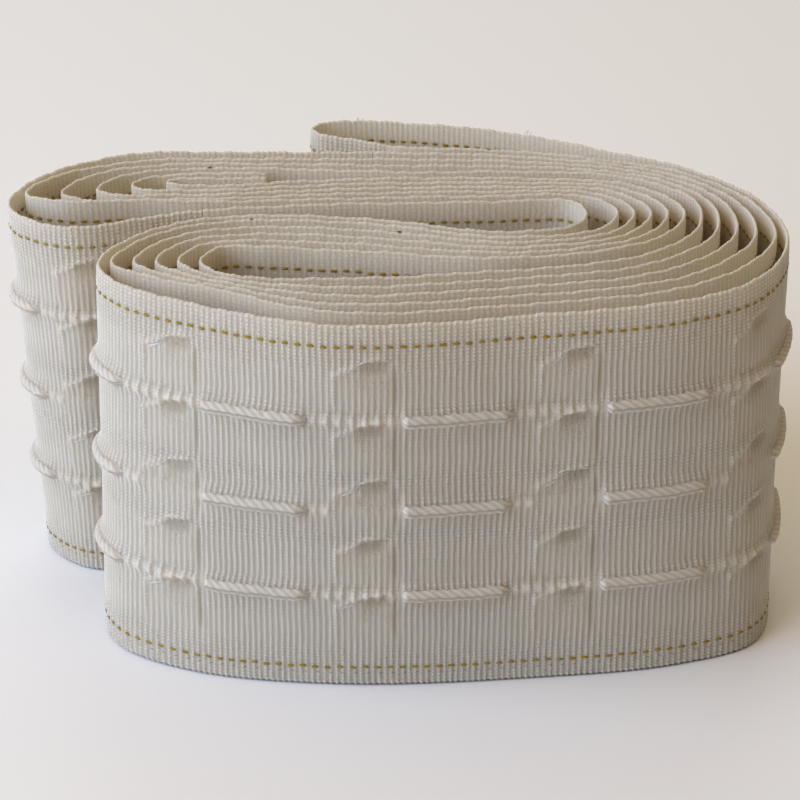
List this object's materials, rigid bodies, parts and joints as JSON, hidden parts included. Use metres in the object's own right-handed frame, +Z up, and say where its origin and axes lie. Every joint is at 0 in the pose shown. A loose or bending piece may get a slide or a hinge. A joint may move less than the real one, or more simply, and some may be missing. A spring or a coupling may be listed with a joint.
{
  "type": "roll of curtain heading tape",
  "caption": "Loose roll of woven curtain heading tape, folded double and wound into two lobes on its edge, with pocket columns, draw cords and marker lines.",
  "frame": {"origin": "middle of the footprint, on the surface that the roll stands on", "axes": "+X along the roll's length, from the two lobes on the left to the single rounded end on the right; +Y from the front to the back, where the folded band stands free; +Z up, across the width of the band"},
  "size_m": [0.1542, 0.1106, 0.076],
  "materials": {
    "woven_band": "off-white woven polyester and cotton, ribbed across its width, with olive-gold marker dashes along both edges",
    "draw_cord": "off-white twisted cord with a soft sheen"
  },
  "bodies": {
    "root": {"tape_band": "woven_band", "draw_cord_upper": "draw_cord", "draw_cord_middle": "draw_cord", "draw_cord_lower": "draw_cord"}
  },
  "joints": []
}
